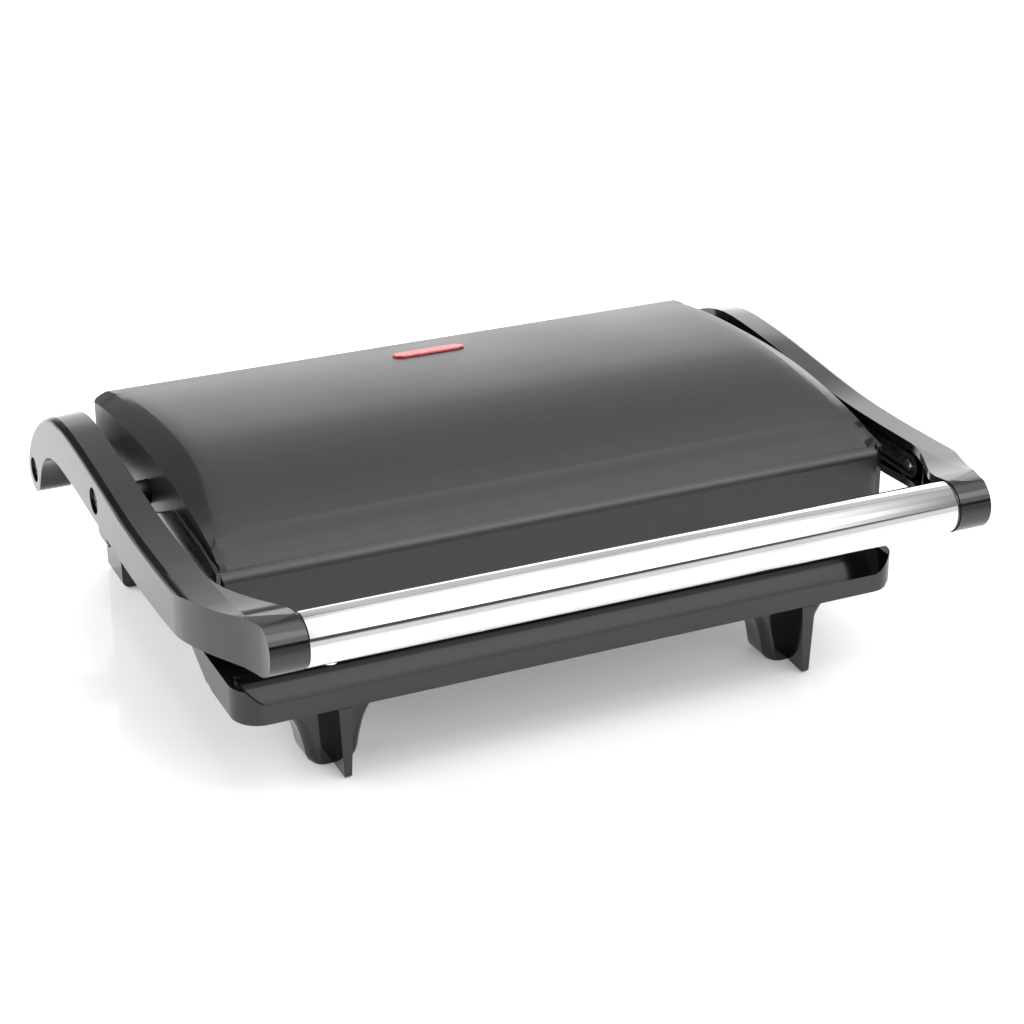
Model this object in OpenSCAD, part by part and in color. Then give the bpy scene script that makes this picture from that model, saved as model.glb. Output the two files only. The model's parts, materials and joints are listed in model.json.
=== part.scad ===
// Panini press: a closed contact grill with two ribbed plates, a floating lid
// and two hook-shaped arms joined by a tube handle.
// X runs across the grill, -Y is the front with the handle, Z = 0 is the worktop.
// The origin is the middle of the footprint of the whole grill.

/* [Grill plates] */
// Width of each grill plate
plate_w = 230; // [220:1:234]
// Depth of each grill plate
plate_d = 142; // [134:1:144]
// Distance between two neighbouring ribs
rib_pitch = 10; // [8:0.5:14]
// Height of a rib above its plate
rib_h = 2.6; // [1.5:0.1:3]

/* [Lid] */
// Width of the lid cover
lid_w = 250.4; // [248:0.2:252]
// Height of the crown of the lid above the worktop
lid_top = 95.8; // [94:0.1:97]
// Wall thickness of the lid cover
lid_wall = 2.4; // [2:0.1:3]
// Length of the indicator lens
lens_l = 29; // [24:0.5:34]
// Width of the indicator lens
lens_w = 8; // [6:0.5:10]

/* [Base] */
// Width of the base over its rim
base_w = 254.6; // [253:0.2:256]
// Height of the rim of the base above the worktop
rim_z = 40; // [39:0.1:41]
// Wall thickness of the base mouldings
base_wall = 2.5; // [2:0.1:3]
// Height of the feet under the belly
foot_h = 24; // [22:0.5:25]

/* [Arms and handle] */
// Width of the whole grill over its arms
arm_span = 290; // [288:1:294]
// Thickness of an arm, across the grill
arm_t = 12.4; // [12:0.1:13]
// Wall thickness of an arm
arm_wall = 2.4; // [2:0.1:3]
// Diameter of the handle tube
tube_d = 18.1; // [17:0.1:19]
// Length of the handle tube
tube_l = 237.6; // [236:0.2:239]
// Diameter of the hinge screws' shanks
pivot_d = 5; // [4:0.5:6]

/* [Hidden] */
$fn = 48;

// Lines and planes that the pieces share
hinge_y = 112.7;        // axis on which the arms turn on the base
hinge_z = 50;
pivot_y = 24.8;         // axis on which the lid floats on the arms
pivot_z = 73.2;
tube_y = -111;          // axis of the handle tube
tube_z = 77.3;
lid_front = -58;        // outer faces of the lid
lid_rear = 93.6;
lid_bottom = 49.6;
plate_mid = 16;         // middle of both plates in Y
plate_gap = 0.5;        // between the ribs of the closed plates
contact_z = 48.6;       // where the closed ribs would meet
base_front = -74;
base_rear = 101;
skirt_z = 27.5;         // lower edge of the front skirt of the base
belly_z = foot_h;
run = 0.05;             // radial clearance of a turning screw

black = [0.10, 0.10, 0.10];
dark = [0.20, 0.20, 0.19];
steel = [0.75, 0.75, 0.76];
alu = [0.60, 0.60, 0.61];

// ---- outline helpers -------------------------------------------------------

// Points along a cubic curve, without its last point
function curve(p, q, r, s, n = 12) = [
    for (i = [0 : n - 1])
        let (t = i / n, u = 1 - t)
            u * u * u * p + 3 * u * u * t * q + 3 * u * t * t * r + t * t * t * s
];

// Points along an arc from angle a to angle b, both ends included
function arc(c, r, a, b, n = 8) = [
    for (i = [0 : n])
        let (w = a + (b - a) * i / n)
            c + r * [cos(w), sin(w)]
];

// Outline of a rectangle from corner lo to corner hi, with round corners
function round_rect(lo, hi, r, n = 6) = concat(
    arc([hi.x - r, hi.y - r], r, 0, 90, n),
    arc([lo.x + r, hi.y - r], r, 90, 180, n),
    arc([lo.x + r, lo.y + r], r, 180, 270, n),
    arc([hi.x - r, lo.y + r], r, 270, 360, n)
);

// The same closed outline moved inwards by d; it must run anticlockwise
function inset(p, d) = [
    for (i = [0 : len(p) - 1])
        let (
            a = p[(i + len(p) - 1) % len(p)],
            b = p[(i + 1) % len(p)],
            t = (b - a) / norm(b - a)
        )
            p[i] + d * [-t.y, t.x]
];

// A block from corner lo to corner hi
module block(lo, hi) translate(lo) cube(hi - lo);

// An upright prism on an outline
module prism(outline, z0, z1) translate([0, 0, z0]) linear_extrude(z1 - z0) polygon(outline);

// A prism along X on an outline that is drawn in Y and Z
module side_prism(outline, x0, x1)
    translate([x0, 0, 0]) rotate([90, 0, 90]) linear_extrude(x1 - x0) polygon(outline);

// A prism along Y on an outline that is drawn in X and Z
module front_prism(outline, y0, y1)
    translate([0, y1, 0]) rotate([90, 0, 0]) linear_extrude(y1 - y0) polygon(outline);

// A cylinder along X between x0 and x1
module x_cylinder(x0, x1, y, z, r) translate([x0, y, z]) rotate([0, 90, 0]) cylinder(x1 - x0, r = r);

// A pan-head screw along -Z with its head's underside at the origin
module pan_screw(shank_d, shank_l, head_d, head_h) {
    difference() {
        union() {
            cylinder(head_h * 0.6, d = head_d);
            translate([0, 0, head_h * 0.6]) cylinder(head_h * 0.4, d1 = head_d, d2 = head_d * 0.7);
        }
        for (a = [0, 90]) rotate(a)
            translate([-head_d * 0.3, -0.45, head_h - 1]) cube([head_d * 0.6, 0.9, 2]);
    }
    translate([0, 0, -shank_l]) cylinder(shank_l, d = shank_d);
}

// Both sides of the grill
module both() { children(); mirror([1, 0, 0]) children(); }

// ---- arms ------------------------------------------------------------------

arm_out = arm_span / 2;
arm_in = arm_out - arm_t;
cap_in = tube_l / 2;
cap_out = cap_in + arm_t - 0.2;
cap_r = tube_d / 2 + 0.2;
collar = 0.9;            // length of the collar between a cap and the tube
screw_x = 10.4 - cap_in; // the screw that holds the tube on its left spigot
hook_r = 8.5;
edge_r = 2.5;            // round upper edge on the outer side
head_r = 4.9;            // recess round a pivot screw's head
head_depth = 4.4;
bar_half = 4.4;          // half the height of the liner
bar_z = 72.4;
liner_floor = 1.1;       // depth of the channel in the liner's face
bar_screw_y = [-66, 6];

// Upper line of an arm in Y and Z, from the hook over the hump to the cap
arm_top = concat(
    curve([121.2, 51], [118, 67], [92, 86.2], [64, 86.2]),
    curve([64, 86.2], [28, 86.2], [2, 80.7], [-30, 80.7]),
    curve([-30, 80.7], [-52, 80.7], [-70, 81.6], [-86, 82.6], 8),
    curve([-86, 82.6], [-96, 83.3], [-101, 84.9], [-108, 86.3], 6)
);

// Side view of an arm, anticlockwise, with the hook's inner side and the round cap
arm_side = concat(
    arc([tube_y, tube_z], cap_r, 78, 262, 18),
    curve([-104, 67.9], [-88, 66.0], [-62, 63.0], [-30, 62.7]),
    curve([-30, 62.7], [5, 62.7], [38, 67.8], [72, 67.6]),
    curve([72, 67.6], [93, 67.2], [100.5, 57], [104.7, 47.1], 10),
    arc([hinge_y, hinge_z], hook_r, 200, 360, 14),
    arm_top
);

// Plan of the bent front part of an arm's face, from the cap to the straight part
function arm_bend(x_front, x_rear, y0, y1) =
    curve([x_front, y0], [x_front + 0.6, y0 + 13], [x_rear, y1 - 17], [x_rear, y1], 14);

outer_face = concat(
    [[cap_out, -130]], arm_bend(cap_out, arm_out, -117, -66), [[arm_out, -66], [arm_out, 130]]
);
inner_face = concat(
    [[cap_in, -130]], arm_bend(cap_in, arm_in, -106, -64), [[arm_in, -64], [arm_in, 130]]
);

// Plan between the two faces, moved in from the outer face and out of the inner face
function arm_plan(wall, spill) = concat(
    [for (p = outer_face) p - [wall, 0]],
    [for (i = [len(inner_face) - 1 : -1 : 0]) inner_face[i] - [spill, 0]]
);

// Everything below a slope that starts on the arm's upper line, on the plane X = x_line
module below_slope(x_line, drop, tilt)
    translate([x_line, 0, 0]) rotate([0, tilt, 0]) side_prism(concat(
        [[-140, -60], [140, -60], [140, 30 * cos(tilt)]],
        [for (p = arm_top) [p.x, (p.y - drop) * cos(tilt)]],
        [[-140, 87 * cos(tilt)]]
    ), -260, 60);

module arm_body() intersection() {
    prism(arm_plan(0, 0), 30, 100);
    side_prism(arm_side, 100, 160);
    below_slope(arm_in, 0, 3.5);
    intersection_for (a = [22.5, 45, 67.5])
        below_slope(arm_out - edge_r * (1 - sin(a)), 0.8 + edge_r * (1 - cos(a)), a);
}

// Hollow on the side of the arm that faces the lid
module arm_pocket() difference() {
    intersection() {
        prism(arm_plan(arm_wall, 6), 30, 100);
        side_prism(inset(arm_side, arm_wall + 0.6), 100, 160);
        block([100, -101, 30], [160, 140, 100]);
    }
    // bosses round the two pivots
    x_cylinder(100, 160, hinge_y, hinge_z, hook_r + 1);
    x_cylinder(100, 160, pivot_y, pivot_z, 8.2);
    // cross ribs
    for (y = [-84, -64, -34, -6, 52, 78]) block([100, y - 0.8, 30], [160, y + 0.8, 100]);
}

module arm() {
    difference() {
        arm_body();
        arm_pocket();
        // pivot bores and the recesses of the screws' heads
        for (p = [[hinge_y, hinge_z], [pivot_y, pivot_z]]) {
            x_cylinder(arm_in - 1, arm_out + 1, p.x, p.y, pivot_d / 2 + run);
            x_cylinder(arm_out - head_depth, arm_out + 1, p.x, p.y, head_r);
        }
        // seat of the liner
        liner_bar(0.15, arm_in - 1, arm_in + 2.15);
        for (y = bar_screw_y) x_cylinder(arm_in - 1, arm_in + 8, y, bar_z, 1.05);
        // through hole of the tie rod
        x_cylinder(cap_in - 30, cap_out - 3, tube_y, tube_z, 3.1);
    }
    // spigot that the handle tube slides on, with the collar the tube butts against
    difference() {
        union() {
            x_cylinder(cap_in - 24, cap_in + 0.2, tube_y, tube_z, tube_d / 2 - 1.3);
            x_cylinder(cap_in - collar, cap_in + 0.2, tube_y, tube_z, tube_d / 2 - 0.2);
        }
        x_cylinder(cap_in - 30, cap_in + 1, tube_y, tube_z, 3.1);
    }
}

// Stiffener with round ends, let into the open side of each arm
module liner_bar(gap, x0, x1) side_prism(concat(
    arc([14 - bar_half, bar_z], bar_half + gap, -90, 90, 10),
    arc([bar_half - 72, bar_z], bar_half + gap, 90, 270, 10)
), x0, x1);
module arm_liner() difference() {
    liner_bar(0, arm_in + 0.1, arm_in + 2);
    liner_bar(-1.3, arm_in - 1, arm_in + liner_floor);
    for (y = bar_screw_y) x_cylinder(arm_in - 1, arm_in + 3, y, bar_z, 1.3);
}
module arm_left() color(black) difference() {
    mirror([1, 0, 0]) arm();
    handle_screw_hole(1.05);
}
module arm_right() color(black) arm();
module arm_liner_left() color(dark) mirror([1, 0, 0]) arm_liner();
module arm_liner_right() color(dark) arm_liner();
module liner_screws() color(steel) both() for (y = bar_screw_y)
    translate([arm_in + liner_floor, y, bar_z]) rotate([0, -90, 0]) pan_screw(2, 6, 4, 1);

module handle_tube() color([0.9, 0.9, 0.9]) difference() {
    x_cylinder(collar + 0.1 - cap_in, cap_in - collar - 0.1, tube_y, tube_z, tube_d / 2);
    x_cylinder(-tube_l, tube_l, tube_y, tube_z, tube_d / 2 - 1.2);
    handle_screw_hole(1.3);
}
module handle_screw_hole(r) translate([screw_x, tube_y, tube_z - 12]) cylinder(8, r = r);
module handle_rod() color(steel)
    x_cylinder(-cap_out + 4, cap_out - 4, tube_y, tube_z, 3);
module handle_screw() color(steel)
    translate([screw_x, tube_y, tube_z - tube_d / 2 - 0.02]) mirror([0, 0, 1]) pan_screw(2, 5, 4.6, 1.1);

// ---- base ------------------------------------------------------------------

base_half = base_w / 2;
front_foot_x = 89.6;
tower_x = 118;           // outer side of the rear corners, which carry the hinges
tower_in = 96;
tower_y = 98;            // front of the rear corners
corner_rear = 118.5;
front_foot_y = [-61.2, -47];   // front and back of a front foot's shell
base_screw_x = [-60, 60];
base_screw_y = [-58, 87];
tray_outline = round_rect([-base_half, base_front], [base_half, base_rear], 10.5, 8);
parting_z = 29.2;        // line between the skirt and its inset lower edge
scoop_z = 34.8;          // front edge of the scoop under the handle
scoop_rear = -61.5;
seat_depth = 0.5;
plate_seat = round_rect([-plate_w / 2 - 0.6, plate_mid - plate_d / 2 - 0.6],
                        [plate_w / 2 + 0.6, plate_mid + plate_d / 2 + 0.6], 9.6, 6);
plate_open = round_rect([-plate_w / 2 + 4, plate_mid - plate_d / 2 + 4],
                        [plate_w / 2 - 4, plate_mid + plate_d / 2 - 4], 8, 5);

// Room for the fingers above the front edge, its ends turned up, sunk by w
module scoop(w) intersection() {
    side_prism(concat(
        [[base_front - 4, 60], [base_front - 4, scoop_z - 1.6 - w], [base_front, scoop_z - w]],
        curve([base_front + 2, scoop_z + 0.8 - w], [base_front + 7, scoop_z + 3 - w],
              [scoop_rear - 2, rim_z - w], [scoop_rear + 3, rim_z - w], 8),
        [[scoop_rear + 3, rim_z - w], [scoop_rear + 3, 60]]
    ), -base_half, base_half);
    front_prism(concat(
        [for (p = scoop_end) [-p.x, p.y - w]],
        [for (i = [len(scoop_end) - 1 : -1 : 0]) [scoop_end[i].x, scoop_end[i].y - w]]
    ), base_front - 5, scoop_rear + 4);
}
scoop_end = concat(
    [[129, 60], [129, 46]],
    curve([125.6, 41.9], [122.6, 38.6], [120.5, 35.2], [115, 34.2], 8),
    [[115, 34.2]]
);

// The base's outer form moved inwards by w
module tray_form(w, bottom) difference() {
    prism(inset(tray_outline, w), bottom, rim_z - w);
    scoop(w);
}

module base_tray() color(black) difference() {
    union() {
        difference() {
            tray_form(0, skirt_z);
            tray_form(base_wall, skirt_z - 1);
        }
        for (x = base_screw_x, y = base_screw_y) translate([x, y, belly_z + 8.3]) cylinder(5.2, r = 4);
        both() hinge_tower();
    }
    // seat and opening of the lower plate
    prism(plate_seat, rim_z - seat_depth, rim_z + 10);
    prism(plate_open, rim_z - 10, rim_z + 10);
    // inset lower edge of the skirt
    difference() {
        prism(inset(tray_outline, -20), skirt_z - 1, parting_z);
        prism(inset(tray_outline, 0.5), skirt_z - 2, parting_z + 1);
        block([-base_half - 30, base_rear - 6, 0], [base_half + 30, base_rear + 40, 60]);
    }
    // the skirt sweeps up to the rim behind the front corners
    both() side_prism([
        [-43, 20], [80, 20], [80, rim_z - base_wall], [-21.2, rim_z - base_wall], [-43, skirt_z]
    ], base_half - 6, base_half + 6);
    for (x = base_screw_x, y = base_screw_y) translate([x, y, 20]) cylinder(16, r = 1.3);
    both() x_cylinder(tower_in + 4, arm_in, hinge_y, hinge_z, pivot_d / 2 + run);
    block([-9, base_rear - 4, 20], [9, base_rear + 4, belly_z + 9.4]);
}

// Hollow rear corner of the base with the boss on which one arm turns
module hinge_tower() {
    boss_r = 6.8;
    side = concat(
        [[tower_y, skirt_z], [corner_rear - 2, skirt_z], [corner_rear, skirt_z + 9]],
        arc([hinge_y - 1, hinge_z], corner_rear - hinge_y + 1, 0, 110, 12),
        [[tower_y + 5, 54], [tower_y, 48]]
    );
    difference() {
        side_prism(side, tower_in, tower_x);
        difference() {
            side_prism([for (p = inset(side, base_wall)) [p.x, p.y > skirt_z + 4 ? p.y : skirt_z - 1]],
                       tower_in + base_wall, tower_x - base_wall);
            x_cylinder(tower_in, tower_x, hinge_y, hinge_z, boss_r - 1);
            block([tower_in, hinge_y - 0.9, skirt_z], [tower_x, hinge_y + 0.9, hinge_z]);
        }
    }
    x_cylinder(tower_x - 1, arm_in - 0.6, hinge_y, hinge_z, boss_r);
}

foot_wall = 2.2;

// Half the width of a front foot's shell, from the belly down to the ground
foot_half = [[18.6, belly_z + 0.5], [16.4, 21.2], [14.2, 18.6], [12.6, 15.8], [11.4, 12.4],
             [10.3, 8], [9.5, 3.6], [8.7, 1.4], [7.3, 0]];

// Front foot: a flared shell with soft front corners, and a tapered fin in front of it
module front_foot() {
    r = 4.5;
    face = front_foot_y[0];
    front = base_front + 0.8;
    top = skirt_z - 0.4;
    translate([front_foot_x, 0, 0]) {
        intersection() {
            front_prism(foot_outline(0, top), face, front_foot_y[1]);
            intersection_for (a = [-67.5, -45, -22.5, 22.5, 45, 67.5])
                translate([0, face, 0]) rotate(270 + a) front_prism(concat(
                    [[-60, belly_z + 0.5], [-60, 0]],
                    [for (i = [len(foot_half) - 1 : -1 : 0])
                        [(foot_half[i].x - r) * sin(abs(a)) + r * (1 - cos(a)), foot_half[i].y]]
                ), -60, 60);
        }
        intersection() {
            side_prism([
                [face + 1, 1.4], [face + 1, top], [front, top],
                [front, 0.9], [front + 0.8, 0], [front + 4, 0]
            ], -4, 4);
            front_prism([
                [-2.7, top], [-1.4, 1], [-0.9, 0], [0.9, 0], [1.3, 1], [2.6, top]
            ], front - 1, face + 2);
        }
    }
}

// Outline of the shell in front view up to the height hi, moved inwards by w
function foot_outline(w, hi) =
    let (side = [for (p = foot_half) if (p.y <= hi) [p.x - w, p.y + w]])
        concat([for (p = side) [-p.x, p.y]], [for (i = [len(side) - 1 : -1 : 0]) side[i]]);

// Inside of a front foot, open towards the inside of the base
module front_foot_hollow() translate([front_foot_x, 0, 0]) {
    y0 = front_foot_y[0] + foot_wall;
    y1 = front_foot_y[1] - foot_wall;
    front_prism(foot_outline(foot_wall, 18), y0, y1);
    block([-10, y0, 15], [10, y1, belly_z + 4]);
}

// Rear foot: a shell open to the rear, below the rear corner of the base
module rear_foot() {
    wall = 2.2;
    top = skirt_z - 0.4;
    fin_x = (tower_in + tower_x) / 2;
    shell = concat(
        [[tower_in - 6, top]],
        arc([tower_in + 5, 3], 3, 200, 270, 4),
        arc([tower_x - 3.4, 3], 3, 270, 350, 4),
        [[tower_x, top]]
    );
    difference() {
        front_prism(shell, tower_y, corner_rear);
        front_prism(inset(shell, wall), tower_y + wall, corner_rear + 1);
    }
    side_prism([
        [tower_y + 1, 0], [corner_rear - 1, 0], [corner_rear, 1], [corner_rear, top], [tower_y + 1, top]
    ], fin_x - 1.2, fin_x + 1.2);
    block([tower_in - 6, 88, belly_z], [tower_x, tower_y + 1, top]);
}

module base_cover() color(black) difference() {
    union() {
        difference() {
            prism(round_rect([-118, -66], [118, 94], 14, 8), belly_z, rim_z - base_wall - 0.3);
            prism(round_rect([-115.6, -63.6], [115.6, 91.6], 12, 8), belly_z + 2.2, rim_z);
            scoop(base_wall + 0.3);
        }
        both() {
            front_foot();
            rear_foot();
        }
        for (x = base_screw_x, y = base_screw_y) translate([x, y, belly_z]) cylinder(8, r = 4);
    }
    for (x = base_screw_x, y = base_screw_y) {
        translate([x, y, belly_z - 1]) cylinder(30, r = 1.7);
        translate([x, y, belly_z - 1]) cylinder(3, r = 3.6);
    }
    both() front_foot_hollow();
    // cooling slots in the belly
    for (i = [-4 : 4]) block([i * 12 - 2, -24, belly_z - 1], [i * 12 + 2, 50, belly_z + 3]);
    block([-9, 88, belly_z + 2.6], [9, 96, belly_z + 9.4]);
}

module base_screws() color(steel) for (x = base_screw_x, y = base_screw_y)
    translate([x, y, belly_z + 2]) mirror([0, 0, 1]) pan_screw(2.4, 9.5, 6, 1.8);

module cord_inlet() color(black) difference() {
    union() {
        block([-8.7, base_rear - 9.4, belly_z + 2.9], [8.7, base_rear + 0.2, belly_z + 9.1]);
        translate([0, base_rear + 0.1, belly_z + 6]) rotate([-90, 0, 0]) cylinder(2.4, r = 6);
    }
    translate([0, base_rear - 12, belly_z + 6]) rotate([-90, 0, 0]) cylinder(20, r = 2.6);
}

// ---- plates ----------------------------------------------------------------

plate_boss_x = [-70, 70];
plate_boss_y = [-52, 52];

// A ribbed plate with its cooking side up; its ribs end at z = 0
module grill_plate() {
    w = plate_w / 2;
    d = plate_d / 2;
    floor_z = -rib_h;
    difference() {
        prism(round_rect([-w, -d], [w, d], 9, 6), floor_z - 6, floor_z + 1.2);
        // cooking area with its gutter
        prism(round_rect([-w + 4, -d + 4], [w - 4, d - 4], 7, 6), floor_z, 5);
        prism(round_rect([-w + 4, -d + 4], [w - 4, -d + 9], 2.2, 4), floor_z - 1.5, 5);
        // underside is open
        prism(round_rect([-w + 3, -d + 3], [w - 3, d - 3], 7, 6), floor_z - 7, floor_z - 3);
    }
    rib_n = floor((w - 9) / rib_pitch);
    for (i = [-rib_n : rib_n]) translate([i * rib_pitch, 0, floor_z - 0.2])
        front_prism([[-2.2, 0], [2.2, 0], [1.1, rib_h + 0.2], [-1.1, rib_h + 0.2]], -d + 12, d - 8);
    // screw bosses below
    for (x = plate_boss_x, y = plate_boss_y)
        translate([x, y, floor_z - 8]) difference() {
            cylinder(5.5, r = 4);
            translate([0, 0, -1]) cylinder(5, r = 1.5);
        }
}

module lower_plate() color(dark)
    translate([0, plate_mid, contact_z - plate_gap / 2]) grill_plate();
module upper_plate() color(dark)
    translate([0, plate_mid, contact_z + plate_gap / 2]) rotate([180, 0, 0]) grill_plate();

// Heating rod bent into two long loops
module heater() {
    r = 3;
    run_x = 88;
    y_out = 40;
    y_in = 14;
    for (s = [-1, 1]) {
        for (y = [y_in, y_out]) x_cylinder(-run_x, run_x, s * y, 0, r);
        translate([run_x, s * (y_in + y_out) / 2, 0]) half_ring((y_out - y_in) / 2, r, -90);
    }
    translate([-run_x, 0, 0]) half_ring(y_in, r, 90);
}
module half_ring(big, r, turn)
    rotate(turn) rotate_extrude(angle = 180) translate([big, 0]) circle(r, $fn = 24);

plate_under = rib_h + plate_gap / 2 + 3;
module lower_heater() color(steel) translate([0, plate_mid, contact_z - plate_under - 3.1]) heater();
module upper_heater() color(steel) translate([0, plate_mid, contact_z + plate_under + 3.1]) heater();

// Pressed sheet that keeps the heat on the plate's side
module reflector() {
    difference() {
        prism(round_rect([-108, -64], [108, 64], 6, 5), -1, 3);
        prism(round_rect([-107.2, -63.2], [107.2, 63.2], 5.4, 5), -0.2, 4);
        for (x = plate_boss_x, y = plate_boss_y) translate([x, y, -2]) cylinder(4, r = 1.8);
        for (y = [-40, 40]) translate([-88, y, -2]) cylinder(4, r = 4);
    }
}
module lower_reflector() color(alu) translate([0, plate_mid, contact_z - plate_under - 6.6]) reflector();
module upper_reflector() color(alu)
    translate([0, plate_mid, contact_z + plate_under + 6.6]) rotate([180, 0, 0]) reflector();

module plate_screws() for (x = plate_boss_x, y = plate_boss_y)
    translate([x, y, 0]) pan_screw(2.8, 4, 6, 1.8);
module lower_plate_screws() color(steel)
    translate([0, plate_mid, contact_z - plate_under - 7.7]) rotate([180, 0, 0]) plate_screws();
module upper_plate_screws() color(steel)
    translate([0, plate_mid, contact_z + plate_under + 7.7]) plate_screws();

module disc_thermostat() {
    cylinder(5, r = 8);
    translate([0, 0, 5]) cylinder(3, r = 6);
    for (x = [-1, 1]) block([x * 9.5 - 3, -1.6, 5], [x * 9.5 + 3, 1.6, 5.8]);
}
module thermostat() color([0.85, 0.8, 0.7])
    translate([30, plate_mid, contact_z - plate_under - 7.8]) rotate([180, 0, 0]) disc_thermostat();
module upper_thermostat() color([0.85, 0.8, 0.7])
    translate([-30, plate_mid, contact_z + plate_under + 7.8]) disc_thermostat();
module thermal_fuse() color([0.9, 0.9, 0.88]) {
    x_cylinder(-50, -20, plate_mid, contact_z - plate_under - 10.6, 2.4);
    x_cylinder(-62, -8, plate_mid, contact_z - plate_under - 10.6, 0.6);
}
module terminal_block() color([0.9, 0.88, 0.8]) difference() {
    block([-16, 68, belly_z + 2.4], [16, 80, belly_z + 9]);
    for (x = [-10, 0, 10]) {
        translate([x, 74, belly_z + 5]) cylinder(10, r = 1.8);
        translate([x, 60, belly_z + 5.6]) rotate([-90, 0, 0]) cylinder(30, r = 1.6);
    }
}

// ---- lid -------------------------------------------------------------------

crown_y = 15;           // where the lid is highest
shoulder_drop = 6.5;    // from the crown down to the side crease, at the highest point
shoulder_slope = 0.67;
lens_rise = 0.8;         // how far the lens stands proud of the lid
lid_boss_r = 4.4;
cheek_t = 2.2;          // thickness of a cheek at its upper edge
cheek_lean = 2;         // its face leans in towards the lower edge
cheek_pegs = [[-44, 66], [4, 66]];

// Height of an arch with its top over the crown and its own radius on each side
function arch_z(y, top, rear_r, front_r) =
    let (r = y > crown_y ? rear_r : front_r, d = y - crown_y)
        top - r + sqrt(r * r - d * d);
function crown_z(y) = arch_z(y, lid_top, 300, 157);
function crease_z(y) = arch_z(y, lid_top - shoulder_drop, 440, 270);

// Side view of the lid, moved inwards by w
function lid_side(w, bottom) = concat(
    [[lid_front - 1.6 + w, bottom], [lid_rear + 0.4 - w, bottom]],
    arc([lid_rear - 4, crown_z(lid_rear - 4) - 3.9], 4 - w * 0.9, 8, 75, 6),
    [for (y = [80 : -10 : 20]) [y, crown_z(y) - w]],
    [for (y = [crown_y : -8 : -45]) [y, crown_z(y) - w]],
    arc([lid_front + 4, crown_z(lid_front + 4) - 4.4], 4 - w * 0.9, 65, 172, 7)
);

// Front corner of the lid in plan, from its side: a tight edge, then an easy bow
lid_corner = [[0, 2.4], [0, 0.9], [0.3, 0.3], [1, -0.1], [4, -0.8], [8, -1.4], [13, -2]];

// Plan of the lid, moved inwards by w
function lid_plan(half, w) = concat(
    arc([half - 3.5, lid_rear - 3 - w], 3.5, 0, 90, 5),
    arc([3.5 - half, lid_rear - 3 - w], 3.5, 90, 180, 5),
    [for (p = lid_corner) [p.x - half, p.y + w + lid_front]],
    [for (i = [len(lid_corner) - 1 : -1 : 0]) [half - lid_corner[i].x, lid_corner[i].y + w + lid_front]]
);

// The lid's outer form moved inwards by w: arched top, with a hollow shoulder along each side
module lid_form(w, bottom) {
    half = lid_w / 2 - w;
    tilt = atan(shoulder_slope);
    intersection() {
        prism(lid_plan(half, w), bottom, 100);
        side_prism(lid_side(w, bottom), -half - 1, half + 1);
        intersection_for (s = [0, 1]) mirror([s, 0, 0])
            translate([half, 0, 0]) rotate([0, tilt, 0]) side_prism(concat(
                [[-75, -140], [105, -140]],
                [for (y = [105 : -10 : -75]) [y, (crease_z(y) - w) * cos(tilt)]]
            ), -300, 60);
    }
}

module lid_cover() color(dark) difference() {
    lid_form(0, lid_bottom);
    lid_form(lid_wall, lid_bottom - 1);
    // window of the lens
    translate([0, 65.8, 70]) linear_extrude(40) stadium(lens_l + 0.3, lens_w + 0.3);
    // openings of the two pivots
    both() x_cylinder(110, 130, pivot_y, pivot_z, lid_boss_r + 0.3);
    // sockets of the cheeks' pegs
    both() for (p = cheek_pegs) x_cylinder(lid_w / 2 - 5, lid_w / 2 + 5, p.x, p.y, 1.6);
}
module stadium(l, w) {
    square([l - w, w], center = true);
    for (s = [-1, 1]) translate([s * (l - w) / 2, 0]) circle(d = w);
}

module indicator_lens() color([0.7, 0.1, 0.12]) intersection() {
    translate([0, 65.8, 70]) linear_extrude(40) stadium(lens_l, lens_w);
    side_prism(concat([[60, 86], [72, 86]], [for (y = [72 : -2 : 60]) [y, crown_z(y) + lens_rise]]), -20, 20);
}
module indicator_lamp() color([1, 0.6, 0.3]) {
    x_cylinder(-7, 7, 65.8, 81, 2.6);
    translate([0, 65.8, 81]) sphere(2.6);
    for (s = [-1, 1]) x_cylinder(s > 0 ? 7 : -17, s > 0 ? 17 : -7, 65.8, 81 + s, 0.4);
}

// Ring that holds the upper plate inside the lid's edge
module lid_frame() color(black) difference() {
    prism(round_rect([-121, lid_front + 1.5], [121, lid_rear - 2.2], 6, 6), lid_bottom + 0.4, 56.5);
    prism(round_rect([-115.3, plate_mid - plate_d / 2 - 0.3], [115.3, plate_mid + plate_d / 2 + 0.3], 9, 6),
          lid_bottom - 1, 60);
    for (x = [-118, 118], y = [-48, 80]) translate([x, y, 40]) cylinder(30, r = 1.2);
}
module lid_screws() color(steel) for (x = [-118, 118], y = [-48, 80])
    translate([x, y, lid_bottom + 0.3]) mirror([0, 0, 1]) pan_screw(2, 6, 4.4, 0.4 + 0.8);

// Bracket inside the lid's side, with the round boss that stands out towards the arm
module lid_bracket() difference() {
    union() {
        x_cylinder(arm_in - 22, arm_in - 0.6, pivot_y, pivot_z, lid_boss_r);
        block([110, pivot_y - 12, 63], [arm_in - 12.6, pivot_y + 12, 84]);
        block([116, pivot_y - 12, 56.7], [arm_in - 12.6, pivot_y + 12, 64]);
    }
    x_cylinder(100, 140, pivot_y, pivot_z, pivot_d / 2 - 0.4);
}
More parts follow.
